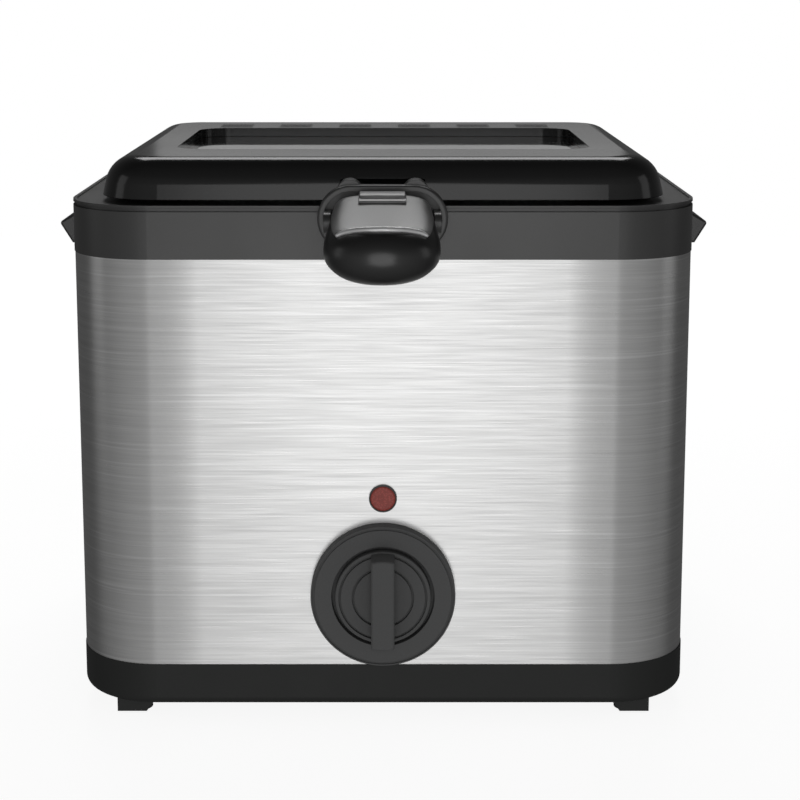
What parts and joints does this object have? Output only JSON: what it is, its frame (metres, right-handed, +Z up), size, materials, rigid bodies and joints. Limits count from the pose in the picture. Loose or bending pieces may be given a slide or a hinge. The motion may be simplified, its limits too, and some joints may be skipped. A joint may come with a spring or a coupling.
{
  "type": "deep fryer",
  "caption": "Compact deep fryer: brushed steel sleeve, dark base and rim, hinged windowed lid, wire basket with folding handle, thermostat knob and pilot lamp.",
  "frame": {"origin": "bottom centre of the bounding box, on the surface that the feet stand on", "axes": "+Z up; the front, with the knob and the basket handle, faces -Y; +X is the viewer's right seen from the front; Y is the longest extent and Z the shortest"},
  "size_m": [0.25, 0.281, 0.2051],
  "materials": {
    "base_plastic": "fine moulded texture, near black",
    "rim_plastic": "satin moulded, dark grey",
    "lid_plastic": "glossy moulded, near black",
    "liner_plastic": "satin moulded",
    "grip_plastic": "glossy moulded, near black",
    "grip_cover_plastic": "satin moulded, dark grey",
    "knob_plastic": "matt moulded, dark grey",
    "brushed_sleeve": "horizontal brushing",
    "window_glass": "clear toughened glass, smoke tint",
    "pilot_red": "translucent dark red, unlit",
    "pot_coating": "non-stick coating with fine speckle",
    "cast_aluminium": "rolled",
    "element_tube": "oxidised sheath",
    "terminal_brass": "plain",
    "sensor_copper": "drawn copper tube",
    "ceramic_white": "fired body",
    "plated_steel": "zinc plated",
    "polished_wire": "bright drawn wire",
    "basket_wire": "plated woven wire",
    "seal_rubber": "silicone",
    "foot_rubber": "matt",
    "filter_felt": "open felt"
  },
  "bodies": {
    "housing": {"base_shell": "base_plastic", "foot_pads": "foot_rubber", "cord_gland": "base_plastic", "steel_sleeve": "brushed_sleeve", "top_rim": "rim_plastic", "hinge_pins": "polished_wire", "carry_grip_left": "rim_plastic", "carry_grip_right": "rim_plastic", "oil_pot": "pot_coating", "pot_seal": "seal_rubber", "heat_plate": "cast_aluminium", "heating_element": "element_tube", "element_terminals": "terminal_brass", "sensor_bulb": "sensor_copper", "thermal_cutout": "ceramic_white", "pot_studs": "plated_steel", "tie_screws": "plated_steel", "heat_shield": "cast_aluminium", "shield_washers": "plated_steel", "thermostat_body": "ceramic_white", "terminal_block": "ceramic_white", "pilot_bezel": "knob_plastic", "pilot_lens": "pilot_red", "pilot_lamp": "ceramic_white", "knob_bezel": "knob_plastic", "thermostat_screws": "plated_steel"},
    "temperature_knob": {"knob": "knob_plastic", "thermostat_shaft": "plated_steel"},
    "lid": {"lid_shell": "lid_plastic", "lid_window": "window_glass", "window_seal": "seal_rubber", "lid_liner": "liner_plastic", "liner_screws": "plated_steel", "filter_pad": "filter_felt"},
    "basket": {"basket_mesh": "basket_wire", "basket_frame": "polished_wire", "basket_foot_wires": "polished_wire", "handle_wires": "polished_wire", "handle_guard": "rim_plastic"},
    "handle": {"grip_body": "grip_plastic", "grip_cover": "grip_cover_plastic", "pivot_pin": "plated_steel", "grip_screw": "plated_steel", "slider_spring": "polished_wire"},
    "slider": {"release_slider": "grip_cover_plastic"}
  },
  "joints": [
    {"name": "lid_open", "type": "hinge", "parent": "housing", "child": "lid", "pos_m": [0, 0.1195, 0.1947], "axis": [-1, 0, 0], "range_deg": [0, 95]},
    {"name": "basket_lift", "type": "slide", "parent": "housing", "child": "basket", "axis": [0, 0, 1], "range_m": [0, 0.08]},
    {"name": "handle_fold", "type": "hinge", "parent": "basket", "child": "handle", "pos_m": [0, -0.0971, 0.185], "axis": [-1, 0, 0], "range_deg": [0, 80]},
    {"name": "release_slide", "type": "slide", "parent": "handle", "child": "slider", "axis": [0, -0.9806, -0.1961], "range_m": [0, 0.0035], "stiffness_N_per_m": 300},
    {"name": "knob_turn", "type": "hinge", "parent": "housing", "child": "temperature_knob", "pos_m": [0, -0.09, 0.049], "axis": [0, 1, 0], "range_deg": [0, 270]}
  ],
  "couplings": [
    {"joint": "basket_lift", "follows": "lid_open", "m_per_rad": 0.048}
  ]
}
